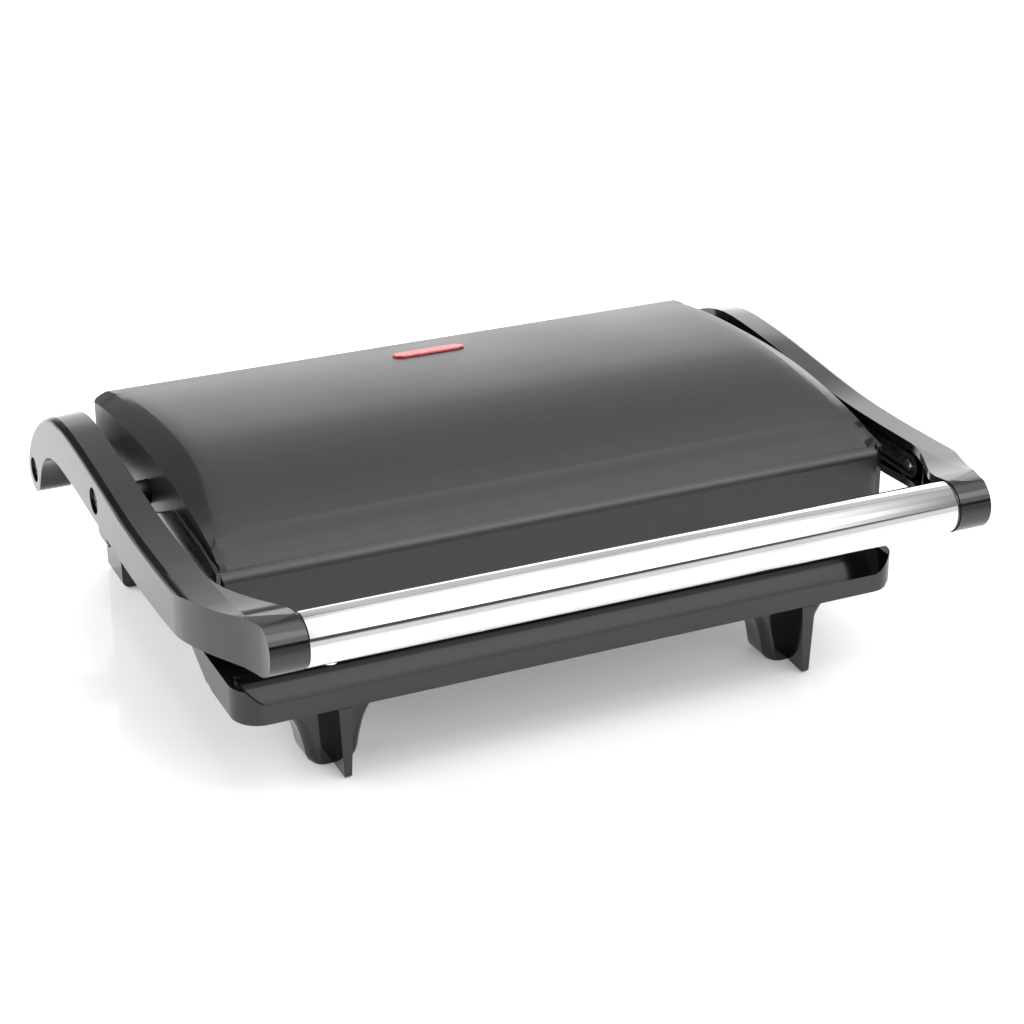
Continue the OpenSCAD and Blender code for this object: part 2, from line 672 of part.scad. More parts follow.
// Cheek that covers the front part of the lid's side
module lid_cheek() {
    x0 = lid_w / 2 + 0.05;
    intersection() {
        side_prism([[-57, 50.4], [61, 50.4], [20, 67], [-14, 82.4], [-18.6, 83], [-30.4, 82.1],
                    [-39.7, 80.8], [-49, 79.1], [-57, 77.3]], x0, x0 + cheek_t);
        translate([x0 + cheek_t, 0, 84]) rotate([0, -cheek_lean, 0]) block([-20, -80, -60], [0, 80, 20]);
    }
    for (p = cheek_pegs) x_cylinder(x0 - 2.3, x0 + 0.5, p.x, p.y, 1.5);
}
module lid_cheek_left() color(black) mirror([1, 0, 0]) lid_cheek();
module lid_cheek_right() color(black) lid_cheek();

module lid_bracket_left() color(alu) mirror([1, 0, 0]) lid_bracket();
module lid_bracket_right() color(alu) lid_bracket();

// Shoulder screw along X: head in the arm's recess, bearing part in the arm's bore
module shoulder_screw(y, z, thread_l, thread_d) {
    seat = arm_out - head_depth;
    difference() {
        x_cylinder(seat + 0.6, seat + 3.2, y, z, 4.3);
        translate([seat + 2.2, y, z]) for (a = [45, 135]) rotate([a, 0, 0])
            translate([0, -2.6, -0.5]) cube([3, 5.2, 1]);
    }
    x_cylinder(arm_in - 0.3, seat + 0.7, y, z, pivot_d / 2);
    x_cylinder(arm_in - 0.3 - thread_l, arm_in, y, z, thread_d / 2);
}
module lid_pivot_screw_left() color(steel) mirror([1, 0, 0]) shoulder_screw(pivot_y, pivot_z, 16, 4);
module lid_pivot_screw_right() color(steel) shoulder_screw(pivot_y, pivot_z, 16, 4);
module hinge_screw_left() color(steel) mirror([1, 0, 0]) shoulder_screw(hinge_y, hinge_z, 10, pivot_d);
module hinge_screw_right() color(steel) shoulder_screw(hinge_y, hinge_z, 10, pivot_d);

module washer(y, z) difference() {
    x_cylinder(arm_out - head_depth + 0.05, arm_out - head_depth + 0.55, y, z, 4.5);
    x_cylinder(arm_in, arm_out, y, z, pivot_d / 2 + 0.02);
}
module hinge_washers() color(steel) both() washer(hinge_y, hinge_z);
module lid_pivot_washers() color(steel) both() washer(pivot_y, pivot_z);

base_tray();
base_cover();
base_screws();
lower_plate();
lower_plate_screws();
lower_heater();
lower_reflector();
thermostat();
thermal_fuse();
terminal_block();
cord_inlet();
hinge_screw_left();
hinge_screw_right();
hinge_washers();
arm_left();
arm_right();
arm_liner_left();
arm_liner_right();
liner_screws();
handle_tube();
handle_rod();
handle_screw();
lid_cover();
lid_frame();
lid_screws();
upper_plate();
upper_plate_screws();
upper_heater();
upper_reflector();
upper_thermostat();
indicator_lens();
indicator_lamp();
lid_bracket_left();
lid_bracket_right();
lid_cheek_left();
lid_cheek_right();
lid_pivot_screw_left();
lid_pivot_screw_right();
lid_pivot_washers();
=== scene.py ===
# %% [markdown]
# # A small contact grill, dressed for the studio
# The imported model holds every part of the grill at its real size: a base on four hollow feet, a lid that
# floats between two arms, and a bright tube across the front. This lesson keeps those sizes and gives each
# part the edges, finish and light that it has on a kitchen worktop. All lengths are in metres.

# %% Load the frame
import json
import math

import bmesh
import bpy
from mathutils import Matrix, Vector

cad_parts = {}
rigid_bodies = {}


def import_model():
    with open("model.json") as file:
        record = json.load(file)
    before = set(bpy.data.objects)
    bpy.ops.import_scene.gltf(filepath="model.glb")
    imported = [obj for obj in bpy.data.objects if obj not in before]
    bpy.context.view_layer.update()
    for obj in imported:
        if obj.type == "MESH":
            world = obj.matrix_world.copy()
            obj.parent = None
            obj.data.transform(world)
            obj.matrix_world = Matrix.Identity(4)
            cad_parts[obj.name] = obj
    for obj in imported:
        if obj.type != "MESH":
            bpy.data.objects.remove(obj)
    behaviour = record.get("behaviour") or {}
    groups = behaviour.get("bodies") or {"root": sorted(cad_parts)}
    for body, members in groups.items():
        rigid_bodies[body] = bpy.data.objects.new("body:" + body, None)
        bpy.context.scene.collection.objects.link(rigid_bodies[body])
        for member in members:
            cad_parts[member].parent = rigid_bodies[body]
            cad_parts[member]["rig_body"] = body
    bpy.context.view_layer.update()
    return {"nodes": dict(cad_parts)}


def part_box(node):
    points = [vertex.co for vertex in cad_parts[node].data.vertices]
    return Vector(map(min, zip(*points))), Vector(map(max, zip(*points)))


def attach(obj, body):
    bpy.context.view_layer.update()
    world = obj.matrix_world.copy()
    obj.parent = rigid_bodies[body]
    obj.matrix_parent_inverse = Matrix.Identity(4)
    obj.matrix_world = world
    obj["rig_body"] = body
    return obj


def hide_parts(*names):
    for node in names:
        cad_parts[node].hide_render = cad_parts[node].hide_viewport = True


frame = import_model()
nodes = frame["nodes"]
MM = 0.001

# %% [markdown]
# ## Two small helpers
# Colours are written as the hex values that a screen shows. Shaders work in linear light, so one function
# turns one into the other. Node trees are long to write by hand, so a second function adds a node, sets its
# properties and values, and links its inputs in a single call.

# %% Colour and node helpers
def colour(code):
    """A hex colour as a screen shows it, as linear red, green, blue and alpha."""
    parts = [int(code[i:i + 2], 16) / 255 for i in (1, 3, 5)]
    return [p / 12.92 if p <= 0.04045 else ((p + 0.055) / 1.055) ** 2.4 for p in parts] + [1.0]


def add(tree, kind, settings=None, values=None, links=None):
    """A new node: settings are its properties, values its unlinked inputs, links its linked inputs."""
    made = tree.nodes.new(kind)
    for key, value in (settings or {}).items():
        setattr(made, key, value)
    for key, value in (values or {}).items():
        made.inputs[key].default_value = value
    for key, socket in (links or {}).items():
        tree.links.new(socket, made.inputs[key])
    return made


print("mid grey in linear light:", [round(c, 3) for c in colour("#808080")])

# %% [markdown]
# ## Finishes
# Every finish is built the same way, so it is written as a short recipe. Its grains are noises that read
# Object coordinates, which are metres here: the scale of a noise is the number of its lumps in a metre, and a
# real grain size in millimetres gives it directly. One grain moves the colour, one the roughness, and some
# are pressed into the surface as bumps.

# %% Start of a finish
TINT_SPREAD = (0.35, 0.65)   # the values of a noise over which the colour changes
HAZE_SPREAD = (0.3, 0.7)     # the values of a noise over which the roughness changes
EVEN = (1, 1, 1)


def finish(name, grains, tint, rough, bumps=(), **values):
    """A material from a recipe.

    grains: for each, the size of its lumps in mm, its detail and, if drawn out, its stretch along each axis.
    tint and rough: the grain that moves it, and the two ends it moves between.
    bumps: one over the other, a grain, its depth in mm and its strength.
    """
    material = bpy.data.materials.new(name)
    material.use_nodes = True
    tree = material.node_tree
    tree.nodes.clear()
    shader = add(tree, "ShaderNodeBsdfPrincipled", values={k.replace("_", " "): v for k, v in values.items()})
    add(tree, "ShaderNodeOutputMaterial", links={"Surface": shader.outputs[0]})
    place = add(tree, "ShaderNodeTexCoord").outputs["Object"]

    noise = {}
    for label, (size_mm, detail, *drawn) in grains.items():
        scale = [1 / s for s in (drawn[0] if drawn else EVEN)]
        mapped = add(tree, "ShaderNodeMapping", values={"Scale": scale}, links={"Vector": place})
        lumps = add(tree, "ShaderNodeTexNoise", values={"Scale": 1 / (size_mm * MM), "Detail": detail},
                    links={"Vector": mapped.outputs[0]})
        noise[label] = lumps.outputs["Fac"]

    grain, *codes = tint
    ramp = add(tree, "ShaderNodeValToRGB", links={"Fac": noise[grain]})
    for stop, position, code in zip(ramp.color_ramp.elements, TINT_SPREAD, codes):
        stop.position, stop.color = position, colour(code)
    tree.links.new(ramp.outputs[0], shader.inputs["Base Color"])

    grain, least, most = rough
    haze = add(tree, "ShaderNodeMapRange", links={"Value": noise[grain]},
               values={"From Min": HAZE_SPREAD[0], "From Max": HAZE_SPREAD[1], "To Min": least, "To Max": most})
    tree.links.new(haze.outputs[0], shader.inputs["Roughness"])

    target = shader.inputs["Normal"]
    for grain, depth_mm, strength in reversed(bumps):
        bump = add(tree, "ShaderNodeBump", values={"Strength": strength, "Distance": depth_mm * MM},
                   links={"Height": noise[grain]})
        tree.links.new(bump.outputs[0], target)
        target = bump.inputs["Normal"]
    return material


finishes = {}
print("a 0.5 mm grain has", round(1 / (0.5 * MM)), "lumps in a metre")

# %% [markdown]
# ### Gloss black ABS
# The arms, the base and the lid's side cheeks come out of a polished mould. The eye sees a deep black with
# clear reflections that waver a little, because the skin of a moulding shrinks unevenly as it cools, and a
# faint haze where hands have wiped it.

# %% Gloss black ABS
finishes["gloss"] = finish(
    "gloss_black_abs_polished_mould", IOR=1.54,
    grains={"haze": (34, 4.0), "ripple": (14, 1.0), "skin": (0.9, 1.0)},
    tint=("haze", "#0c0c0c", "#131312"), rough=("haze", 0.07, 0.14),
    bumps=[("ripple", 0.05, 0.5), ("skin", 0.004, 0.12)])
print(finishes["gloss"].name)

# %% [markdown]
# ### Spark-textured lid
# The lid's mould is eroded with sparks, which leaves a fine even grit. It scatters the light, so the lid looks
# a satin dark grey, pale where it turns away from the eye and nearly black where it faces it. The real grit is
# about 0.1 mm; it is drawn at 0.45 mm, as fine as still shows.

# %% Spark-textured lid
finishes["lid"] = finish(
    "satin_spark_textured_abs", IOR=1.52,
    grains={"cloud": (60, 3.0), "grit": (0.45, 1.5)},
    tint=("grit", "#1f1e1d", "#282726"), rough=("cloud", 0.33, 0.38), bumps=[("grit", 0.03, 0.45)])
print(finishes["lid"].name)

# %% [markdown]
# ### Metals and the coated plates
# A metal has no colour under its reflection, so its tint is the colour of the reflection itself. What tells
# one from another is how it was worked, and that is in the roughness: a polished plate is nearly a mirror,
# rolled sheet is drawn out one way, and heat leaves a straw-brown bloom. The plates are cast aluminium, but
# the eye sees only their coat, so they are no metal here.

# %% Metals and the coated plates
# almost a mirror, with hairlines along the tube from the polishing wheel
finishes["chrome"] = finish(
    "polished_chrome_plate", Metallic=1.0, grains={"cloud": (40, 2.0), "hair": (0.25, 2.0, (60, 1, 1))},
    tint=("cloud", "#dcdddf", "#e9e9e9"), rough=("hair", 0.045, 0.085), bumps=[("hair", 0.0015, 0.3)])
# bright but cloudy, as a thin zinc plate is
finishes["zinc"] = finish(
    "zinc_plated_steel", Metallic=1.0, grains={"bloom": (1.6, 3.0), "pits": (0.2, 2.0)},
    tint=("bloom", "#9a9b9e", "#c2c3c4"), rough=("bloom", 0.22, 0.36), bumps=[("pits", 0.01, 0.4)])
# pale, and streaked the way it was rolled
finishes["aluminium"] = finish(
    "pressed_aluminium_sheet", Metallic=1.0, grains={"rolled": (0.35, 3.0, (40, 1, 1))},
    tint=("rolled", "#b9babb", "#d2d2d0"), rough=("rolled", 0.24, 0.38), bumps=[("rolled", 0.006, 0.4)])
# dull, from grey to straw-brown
finishes["sheath"] = finish(
    "heat_tinted_steel_sheath", Metallic=1.0, grains={"tint": (18, 3.0), "scale": (0.5, 2.0)},
    tint=("tint", "#6b5b45", "#8c8277"), rough=("tint", 0.34, 0.5), bumps=[("scale", 0.02, 0.4)])
# black, soft and slightly pebbled
finishes["nonstick"] = finish(
    "black_nonstick_on_cast_aluminium", IOR=1.38, grains={"pebble": (0.7, 2.0), "cloud": (25, 2.0)},
    tint=("pebble", "#161615", "#232321"), rough=("cloud", 0.32, 0.44), bumps=[("pebble", 0.03, 0.5)])
print(len(finishes), "finishes so far")

# %% [markdown]
# ### Lens, lamp, ceramic and the matt black plastic
# The lens is a small red moulding with a lamp under it, so a little light goes through. The terminal block is
# steatite, a pale ceramic that stands the heat. The liners and brackets are glass-filled nylon, whose fibres
# come to the surface and break up its shine.

# %% Lens, lamp, ceramic and the matt black plastic
# red all through, its surface dulled by cleaning
finishes["lens"] = finish(
    "red_acrylic_lens", IOR=1.49, Transmission_Weight=0.15, grains={"depth": (6, 2.0), "wipe": (1.2, 1.0)},
    tint=("depth", "#a01a20", "#bd2a2c"), rough=("depth", 0.24, 0.3), bumps=[("wipe", 0.01, 0.3)])
# a warm bead below the lens
finishes["lamp"] = finish(
    "orange_neon_glass", IOR=1.5, grains={"gas": (1.5, 2.0), "glass": (3, 2.0)},
    tint=("gas", "#c9743a", "#e39a5e"), rough=("glass", 0.08, 0.16))
# cream and dry
finishes["ceramic"] = finish(
    "steatite_ceramic", IOR=1.56, grains={"body": (1.2, 4.0), "cloud": (4, 2.0), "pores": (0.4, 2.0)},
    tint=("body", "#cfc6b2", "#e0d9c8"), rough=("cloud", 0.5, 0.65), bumps=[("pores", 0.02, 0.4)])
# a black that is a little greyer and drier than the arms
finishes["nylon"] = finish(
    "satin_black_glass_filled_nylon", IOR=1.53, grains={"fibre": (0.5, 3.0, (1, 6, 1)), "cloud": (20, 2.0)},
    tint=("fibre", "#0f0f0f", "#191918"), rough=("cloud", 0.2, 0.3), bumps=[("fibre", 0.01, 0.3)])
print("all finishes:", sorted(finishes))

# %% [markdown]
# ## A finish for every part
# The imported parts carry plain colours. Each is given its finish by name, so that no part is forgotten.

# %% Dress the parts
FINISH_OF = {
    "gloss": "base_tray base_cover cord_inlet arm_left arm_right lid_cheek_left lid_cheek_right",
    "nylon": "arm_liner_left arm_liner_right lid_frame lid_bracket_left lid_bracket_right",
    "lid": "lid_cover",
    "nonstick": "lower_plate upper_plate",
    "chrome": "handle_tube handle_screw",
    "zinc": "base_screws lower_plate_screws hinge_screw_left hinge_screw_right hinge_washers liner_screws "
            "handle_rod lid_screws upper_plate_screws lid_pivot_screw_left lid_pivot_screw_right "
            "lid_pivot_washers",
    "sheath": "lower_heater upper_heater",
    "aluminium": "lower_reflector upper_reflector thermostat upper_thermostat thermal_fuse",
    "ceramic": "terminal_block",
    "lens": "indicator_lens",
    "lamp": "indicator_lamp",
}
dressed = set()
for key, names in FINISH_OF.items():
    for name in names.split():
        nodes[name].data.materials.clear()
        nodes[name].data.materials.append(finishes[key])
        dressed.add(name)
print("dressed", len(dressed), "parts; still bare:", sorted(set(nodes) - dressed))

# %% [markdown]
# ## Standing in for a part
# Where a part needs a better mesh, a new piece takes its place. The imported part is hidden, and the piece rides
# on the same body and keeps the same slot for its finish, so it moves and is painted as the part was.


def added(name, data):
    """A new object in the scene, with its place in its mesh."""
    made = bpy.data.objects.new(name, data)
    bpy.context.scene.collection.objects.link(made)
    return made


def baked(piece, name):
    """The piece with its modifiers made into a plain mesh of that name."""
    graph = bpy.context.evaluated_depsgraph_get()
    final = bpy.data.meshes.new_from_object(piece.evaluated_get(graph), preserve_all_data_layers=True,
                                            depsgraph=graph)
    piece.modifiers.clear()
    piece.data = final
    final.name = name
    return piece


def stands_for(piece, name):
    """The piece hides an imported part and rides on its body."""
    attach(piece, nodes[name]["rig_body"])
    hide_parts(name)
    print(piece.name, len(piece.data.polygons), "faces")


# %% [markdown]
# ## Softened edges
# A mould can't make a knife edge, and the thin bright line along a rounded edge is what makes a part look
# solid. Each part that the eye can reach is copied, its loose triangles are joined into faces, and its sharp
# edges are rounded by a few tenths of a millimetre. The shading then follows the large faces, so that they
# stay flat between their rounded edges.

# %% Softened copies
SAME_CORNER = 2e-6               # corners of loose triangles closer than this, in metres, are one
SAME_FACE = math.radians(0.6)    # triangles that turn less than this are one face
SHARP = math.radians(32)         # an edge that turns more than this is rounded
SMOOTH = math.radians(30)        # faces that meet at less than this are shaded as one
EDGE_STEPS = 2
FULL_WEIGHT = 100

SOFT_EDGES = {"arm_left": 0.5, "arm_right": 0.5, "base_tray": 0.6, "base_cover": 0.4, "lid_cheek_left": 0.4,
              "lid_cheek_right": 0.4, "arm_liner_left": 0.3, "arm_liner_right": 0.3, "indicator_lens": 0.5}


def softened(name, width_mm, shape=None):
    """A copy of a part with its sharp edges rounded. Shape may change the copy before that."""
    mesh = nodes[name].data.copy()
    mesh.name = name + "_soft"
    work = bmesh.new()
    work.from_mesh(mesh)
    bmesh.ops.remove_doubles(work, verts=work.verts, dist=SAME_CORNER)
    bmesh.ops.dissolve_limit(work, angle_limit=SAME_FACE, verts=work.verts, edges=work.edges,
                             delimit={"NORMAL"})
    if shape:
        shape(work)
    work.to_mesh(mesh)
    work.free()
    piece = added(name + "_soft", mesh)
    bevel = piece.modifiers.new("round", "BEVEL")
    bevel.width = width_mm * MM
    bevel.segments = EDGE_STEPS
    bevel.limit_method = "ANGLE"
    bevel.angle_limit = SHARP
    bevel.use_clamp_overlap = True
    mesh.shade_smooth()
    mesh.set_sharp_from_angle(angle=SMOOTH)
    weigh = piece.modifiers.new("flat_faces", "WEIGHTED_NORMAL")
    weigh.mode = "FACE_AREA"
    weigh.weight = FULL_WEIGHT
    weigh.keep_sharp = True
    return baked(piece, name + "_soft")


for name, width in SOFT_EDGES.items():
    stands_for(softened(name, width), name)

# %% [markdown]
# ## The lid's skin
# The lid is an arch cut by a sloping shoulder along each side. On the real moulding the two meet in a soft fold
# that widens towards the front, and the arch rolls over into the front wall without a break. Cutting the copied
# lid into a fine grid gives it the points to bend with, and one rule sets the height of each point: the lower
# of arch and shoulder, with the corner between them rounded off. All lengths in this cell are in mm.

# %% Lid skin
lid_low, lid_high = (Vector(corner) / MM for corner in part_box("lid_cover"))
LID_TOP = lid_high.z
LID_HALF = (lid_high.x - lid_low.x) / 2
CROWN_Y = 15.0                                      # where the arch is highest
ARCH_REAR, PACKED_FRONT, ROLLED_FRONT = 300.0, 157.0, 139.0     # radii of the arch
SHOULDER_DROP, SHOULDER_REAR, SHOULDER_FRONT, SHOULDER_SLOPE = 6.5, 440.0, 270.0, 0.67
FRONT_EDGE, FLAT_Y, REAR_EDGE = -55.3, -45.0, 80.5  # front edge, rear end of its low strip, end of the skin
SIDE_RIM = 0.4                                      # a strip along each side that stays
SKIN_FOOT, BLEND = 62.0, 10.0                       # below the foot nothing moves, above the blend all of it
THIN_FOLD, WIDER, FOLD_START, FOLD_LENGTH = 0.5, 0.9, 70.0, 120.0
NEAR, NEAR_IN_FRONT = 0.3, 2.0                      # how far below the rule a point may lie and be skin
GRID_X, COLUMNS, GRID_Y, ROWS, FIRST_ROW = 3.06, 40, 3, 48, -54.8


def arch(y, top, rear_radius, front_radius):
    """Height of an arch that is highest over the crown."""
    radius = rear_radius if y > CROWN_Y else front_radius
    return top - radius + math.sqrt(radius ** 2 - (y - CROWN_Y) ** 2)


def skin(x, y, front_radius, fold):
    """Height of the lid's skin: the lower of arch and shoulder, rounded over by fold."""
    crown = arch(y, LID_TOP, ARCH_REAR, front_radius)
    shoulder = arch(y, LID_TOP - SHOULDER_DROP, SHOULDER_REAR, SHOULDER_FRONT)
    shoulder += SHOULDER_SLOPE * (LID_HALF - abs(x))
    return (crown + shoulder) / 2 - math.hypot((crown - shoulder) / 2, fold)


def lid_skin(work):
    """Cut the lid into a grid and bend its upper side to the rule."""
    columns = [((step * GRID_X * MM, 0, 0), (1, 0, 0)) for step in range(-COLUMNS, COLUMNS + 1)]
    rows = [((0, (FIRST_ROW + step * GRID_Y) * MM, 0), (0, 1, 0)) for step in range(ROWS)]
    for place, direction in columns + rows:
        bmesh.ops.bisect_plane(work, geom=work.verts[:] + work.edges[:] + work.faces[:], dist=1e-6,
                               plane_co=place, plane_no=direction)
    for vert in work.verts:
        x, y, z = (c / MM for c in vert.co)
        if y > REAR_EDGE or z < SKIN_FOOT:
            continue
        inside_rim = abs(x) < LID_HALF - SIDE_RIM
        slack = NEAR_IN_FRONT if FRONT_EDGE < y < FLAT_Y else NEAR
        outside = z > skin(x, y, PACKED_FRONT, 0.0) - slack
        if outside and y > FRONT_EDGE and inside_rim:
            fold = THIN_FOLD + WIDER * min(max((FOLD_START - y) / FOLD_LENGTH, 0.0), 1.0)
            vert.co.z = skin(x, y, ROLLED_FRONT, fold) * MM
        elif (inside_rim or y < FRONT_EDGE) and y < CROWN_Y:
            drop = arch(y, LID_TOP, ARCH_REAR, PACKED_FRONT) - arch(y, LID_TOP, ARCH_REAR, ROLLED_FRONT)
            vert.co.z -= drop * min((z - SKIN_FOOT) / BLEND, 1.0) * MM


stands_for(softened("lid_cover", 0.7, lid_skin), "lid_cover")

# %% [markdown]
# ## Growing a piece
# What repeats, or follows a path, is grown by Geometry Nodes. Each tree has named inputs for its sizes, in
# metres, and ends by turning its copies into real faces and giving them their material. Its result is then
# turned into a plain mesh, so that no modifier is left on the piece.

# %% Growing a piece
def group(name, sockets):
    """An empty geometry tree with the given number inputs."""
    tree = bpy.data.node_groups.new(name, "GeometryNodeTree")
    tree.interface.new_socket("Geometry", in_out="INPUT", socket_type="NodeSocketGeometry")
    tree.interface.new_socket("Geometry", in_out="OUTPUT", socket_type="NodeSocketGeometry")
    for label in sockets:
        tree.interface.new_socket(label, in_out="INPUT", socket_type="NodeSocketFloat")
    tree.interface.new_socket("Material", in_out="INPUT", socket_type="NodeSocketMaterial")
    return tree, add(tree, "NodeGroupInput").outputs


def end_tree(tree, geometry, given):
    """Realise, give the material and leave the tree."""
    real = add(tree, "GeometryNodeRealizeInstances", links={"Geometry": geometry})
    skinned = add(tree, "GeometryNodeSetMaterial",
                  links={"Geometry": real.outputs[0], "Material": given["Material"]})
    add(tree, "NodeGroupOutput", links={"Geometry": skinned.outputs[0]})
    return tree


def grown(name, tree, sizes, material, points=(), edges=(), aims=None, base=None):
    """A plain mesh that a tree makes from points, lines or a base mesh."""
    mesh = base or bpy.data.meshes.new(name)
    if base is None:
        mesh.from_pydata(points, edges, [])
    if aims:
        aim = mesh.attributes.new("aim", "FLOAT_VECTOR", "POINT")
        aim.data.foreach_set("vector", [c for each in aims for c in each])
    piece = added(name, mesh)
    grow = piece.modifiers.new("grow", "NODES")
    grow.node_group = tree
    for item in tree.interface.items_tree:
        if item.in_out == "INPUT" and item.name in sizes:
            grow[item.identifier] = float(sizes[item.name])
        elif item.in_out == "INPUT" and item.name == "Material":
            grow[item.identifier] = material
    return baked(piece, name)


print("ready to grow pieces")

# %% [markdown]
# ## Screws
# Twenty small pan-head screws hold the grill together. They differ only in size and direction, so one node tree
# builds a screw from its measures, with a crossed recess in its head and a thread on its shank, and sets it on
# every point of a small mesh, turned along that point's aim.

# %% Screw tree
HEAD_SIDES, SHANK_SIDES, THREAD_STEPS, THREAD_SIDES = 32, 20, 14, 3
RECESS_WIDTH = 0.7 * MM
RECESS_TURNS = (math.radians(45), math.radians(135))
# each measure of the screw as a share of one before it
SCREW_SHARES = [
    ("Head Radius", "Head Diameter", 0.5), ("Rim", "Head Height", 0.6), ("Crown", "Head Height", 0.5),
    ("Crown Top", "Head Radius", 0.66), ("Crown Foot", "Head Radius", 0.97),
    ("Recess Length", "Head Radius", 1.1), ("Core Radius", "Shank Diameter", 0.42),
    ("Tooth Radius", "Shank Diameter", 0.075), ("Thread Length", "Shank Length", 0.8),
    ("Shank Middle", "Shank Length", -0.5), ("Thread Foot", "Shank Length", -0.9),
]


def screw_tree():
    tree, given = group("pan_head_screws",
                        ["Head Diameter", "Head Height", "Shank Diameter", "Shank Length", "Pitch"])
    size = {socket.name: socket for socket in given}
    for label, source, share in SCREW_SHARES:
        size[label] = add(tree, "ShaderNodeMath", {"operation": "MULTIPLY"}, {1: share},
                          {0: size[source]}).outputs[0]
    turns = add(tree, "ShaderNodeMath", {"operation": "DIVIDE"},
                links={0: size["Shank Length"], 1: size["Pitch"]})
    fewer = add(tree, "ShaderNodeMath", {"operation": "SUBTRACT"}, {1: 1.0}, {0: turns.outputs[0]})

    disc = add(tree, "GeometryNodeMeshCone", values={"Vertices": HEAD_SIDES},
               links={"Radius Top": size["Head Radius"], "Radius Bottom": size["Head Radius"],
                      "Depth": size["Rim"]})
    dome = add(tree, "GeometryNodeMeshCone", values={"Vertices": HEAD_SIDES},
               links={"Radius Top": size["Crown Top"], "Radius Bottom": size["Crown Foot"],
                      "Depth": size["Crown"]})
    block = add(tree, "ShaderNodeCombineXYZ", values={"Y": RECESS_WIDTH},
                links={"X": size["Recess Length"], "Z": size["Head Height"]})
    bar = add(tree, "GeometryNodeMeshCube", links={"Size": block.outputs[0]}).outputs["Mesh"]
    shank = add(tree, "GeometryNodeMeshCylinder", values={"Vertices": SHANK_SIDES},
                links={"Radius": size["Core Radius"], "Depth": size["Shank Length"]})
    helix = add(tree, "GeometryNodeCurveSpiral", values={"Resolution": THREAD_STEPS},
                links={"Rotations": fewer.outputs[0], "Start Radius": size["Core Radius"],
                       "End Radius": size["Core Radius"], "Height": size["Thread Length"]})
    tooth = add(tree, "GeometryNodeCurvePrimitiveCircle", values={"Resolution": THREAD_SIDES},
                links={"Radius": size["Tooth Radius"]})
    thread = add(tree, "GeometryNodeCurveToMesh", values={"Fill Caps": True},
                 links={"Curve": helix.outputs[0], "Profile Curve": tooth.outputs[0]})

    raised = {}
    for label, geometry, height, spin in [
            ("dome", dome.outputs["Mesh"], "Crown", 0.0), ("one bar", bar, "Head Height", RECESS_TURNS[0]),
            ("other bar", bar, "Head Height", RECESS_TURNS[1]),
            ("shank", shank.outputs["Mesh"], "Shank Middle", 0.0),
            ("thread", thread.outputs[0], "Thread Foot", 0.0)]:
        at = add(tree, "ShaderNodeCombineXYZ", links={"Z": size[height]})
        raised[label] = add(tree, "GeometryNodeTransform", values={"Rotation": (0, 0, spin)},
                            links={"Geometry": geometry, "Translation": at.outputs[0]}).outputs[0]

    head = add(tree, "GeometryNodeMeshBoolean", {"operation": "UNION", "solver": "EXACT"})
    for geometry in (disc.outputs["Mesh"], raised["dome"]):
        tree.links.new(geometry, head.inputs["Mesh 2"])
    recess = add(tree, "GeometryNodeMeshBoolean", {"operation": "DIFFERENCE", "solver": "EXACT"},
                 links={"Mesh 1": head.outputs["Mesh"]})
    for geometry in (raised["one bar"], raised["other bar"]):
        tree.links.new(geometry, recess.inputs["Mesh 2"])
    parts = add(tree, "GeometryNodeJoinGeometry")
    for geometry in (recess.outputs["Mesh"], raised["shank"], raised["thread"]):
        tree.links.new(geometry, parts.inputs["Geometry"])

    aim = add(tree, "GeometryNodeInputNamedAttribute", {"data_type": "FLOAT_VECTOR"}, {"Name": "aim"})
    turned_to = add(tree, "FunctionNodeAlignRotationToVector", {"axis": "Z"},
                    links={"Vector": aim.outputs["Attribute"]})
    placed = add(tree, "GeometryNodeInstanceOnPoints",
                 links={"Points": given["Geometry"], "Instance": parts.outputs[0],
                        "Rotation": turned_to.outputs[0]})
    return end_tree(tree, placed.outputs[0], given)


screws = screw_tree()
print("screw tree with", len(screws.nodes), "nodes")

# %% [markdown]
# ### Screws in their places
# The screws of a plate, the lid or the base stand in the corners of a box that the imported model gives, with
# their heads down or up. Those of the arm liners lie along the width, with their heads towards the middle.

# %% Screw sets
THREAD_PITCH = 0.9
CRISP = math.radians(35)         # sharper edges than this stay crisp


def dress_screws(name, points, aims, head_d, head_h, shank_d, shank_l):
    """Screws of one size in mm, on points in metres, their heads towards aims."""
    sizes = {"Head Diameter": head_d * MM, "Head Height": head_h * MM, "Shank Diameter": shank_d * MM,
             "Shank Length": shank_l * MM, "Pitch": THREAD_PITCH * MM}
    piece = grown(name + "_threaded", screws, sizes, finishes["zinc"], points, aims=aims)
    piece.data.set_sharp_from_angle(angle=CRISP)
    stands_for(piece, name)


def screw_set(name, aim, head_d, head_h, shank_d, shank_l):
    """Four screws in the corners of a part's box, their heads towards aim."""
    low, high = (Vector(corner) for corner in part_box(name))
    r, h = head_d / 2 * MM, head_h * MM
    under = high.z - h if aim > 0 else low.z + h
    points = [(x, y, under) for x in (low.x + r, high.x - r) for y in (low.y + r, high.y - r)]
    dress_screws(name, points, [(0, 0, aim)] * 4, head_d, head_h, shank_d, shank_l)


DOWN, UP = -1, 1
screw_set("base_screws", DOWN, 6.0, 1.8, 2.4, 9.5)
screw_set("lower_plate_screws", DOWN, 6.0, 1.8, 2.8, 4.0)
screw_set("upper_plate_screws", UP, 6.0, 1.8, 2.8, 4.0)
screw_set("lid_screws", DOWN, 4.4, 1.2, 2.0, 6.0)

